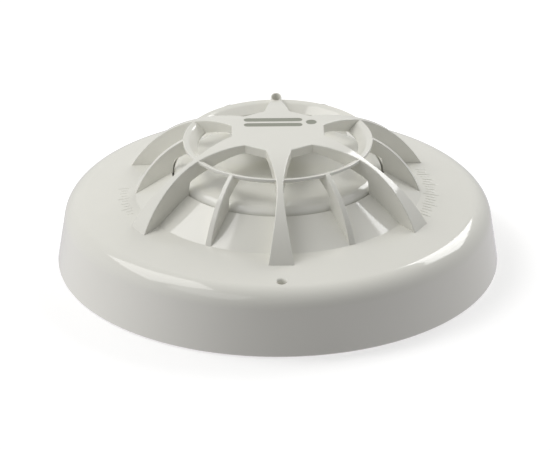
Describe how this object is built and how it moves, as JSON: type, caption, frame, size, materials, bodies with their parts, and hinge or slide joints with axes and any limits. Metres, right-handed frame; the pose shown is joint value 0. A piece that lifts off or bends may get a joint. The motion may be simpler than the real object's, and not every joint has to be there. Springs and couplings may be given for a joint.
{
  "type": "heat detector",
  "caption": "Round ceiling heat detector: a ribbed guard over a sensing dome, on a wide skirted cover that twists off a flat mounting base.",
  "frame": {"origin": "centre of the mounting base's back face, which is also the bottom centre of the whole box", "axes": "+Z out of the mounting surface towards the star; the status light is on +Y and the locking hole on -Y"},
  "size_m": [0.14, 0.14, 0.0455],
  "materials": {
    "cover_plastic": "smooth off-white moulding with a soft gloss",
    "dome_plastic": "smooth off-white moulding",
    "base_plastic": "lightly textured off-white moulding",
    "mark": "grey-green inset",
    "gasket": "soft black foam rubber",
    "screw_steel": "zinc-plated",
    "cell_wrap": "shrink-wrapped cell",
    "contact_metal": "nickel-plated strip",
    "board": "solder-masked glass-fibre board",
    "chip_black": "moulded epoxy",
    "shield_metal": "tinned sheet",
    "antenna_metal": "formed strip",
    "reed_glass": "tinted glass capsule",
    "capacitor_sleeve": "shrink sleeve",
    "led_red": "tinted epoxy lens",
    "clear_acrylic": "clear acrylic rod",
    "bead": "epoxy-dipped bead",
    "button_red": "moulded cap and rod",
    "plunger_plastic": "acetal"
  },
  "bodies": {
    "base": {"mounting_base": "base_plastic"},
    "head": {"rear_chassis": "base_plastic", "outer_cover": "cover_plastic", "star_hub": "cover_plastic", "guard_ring": "cover_plastic", "long_ribs": "cover_plastic", "short_ribs": "cover_plastic", "marking_inlay": "mark", "sensor_dome": "dome_plastic", "dome_gasket": "gasket", "chassis_screws": "screw_steel", "locking_screw": "screw_steel", "battery_cells": "cell_wrap", "battery_contacts": "contact_metal", "main_board": "board", "board_screws": "screw_steel", "controller_chip": "chip_black", "radio_module": "board", "radio_shield": "shield_metal", "antenna_loop": "antenna_metal", "reed_switch": "reed_glass", "storage_capacitor": "capacitor_sleeve", "status_led": "led_red", "light_pipe": "clear_acrylic", "thermistor": "bead", "thermistor_sleeve": "dome_plastic", "log_on_switch": "chip_black", "tamper_switch": "chip_black"},
    "log_on_button": {"log_on_button": "button_red"},
    "tamper_plunger": {"tamper_plunger": "plunger_plastic"}
  },
  "joints": [
    {"name": "head_twist", "type": "hinge", "parent": "base", "child": "head", "pos_m": [0, 0, 0.006], "axis": [0, 0, 1], "range_deg": [0, 15]},
    {"name": "log_on_press", "type": "slide", "parent": "head", "child": "log_on_button", "axis": [0, 0, 1], "range_m": [0, 0.0005], "stiffness_N_per_m": 300, "springref_m": -0.001},
    {"name": "tamper_drop", "type": "slide", "parent": "head", "child": "tamper_plunger", "axis": [0, 0, -1], "range_m": [0, 0.0012]}
  ],
  "couplings": [
    {"joint": "tamper_drop", "follows": "head_twist", "m_per_rad": 0.00458}
  ]
}
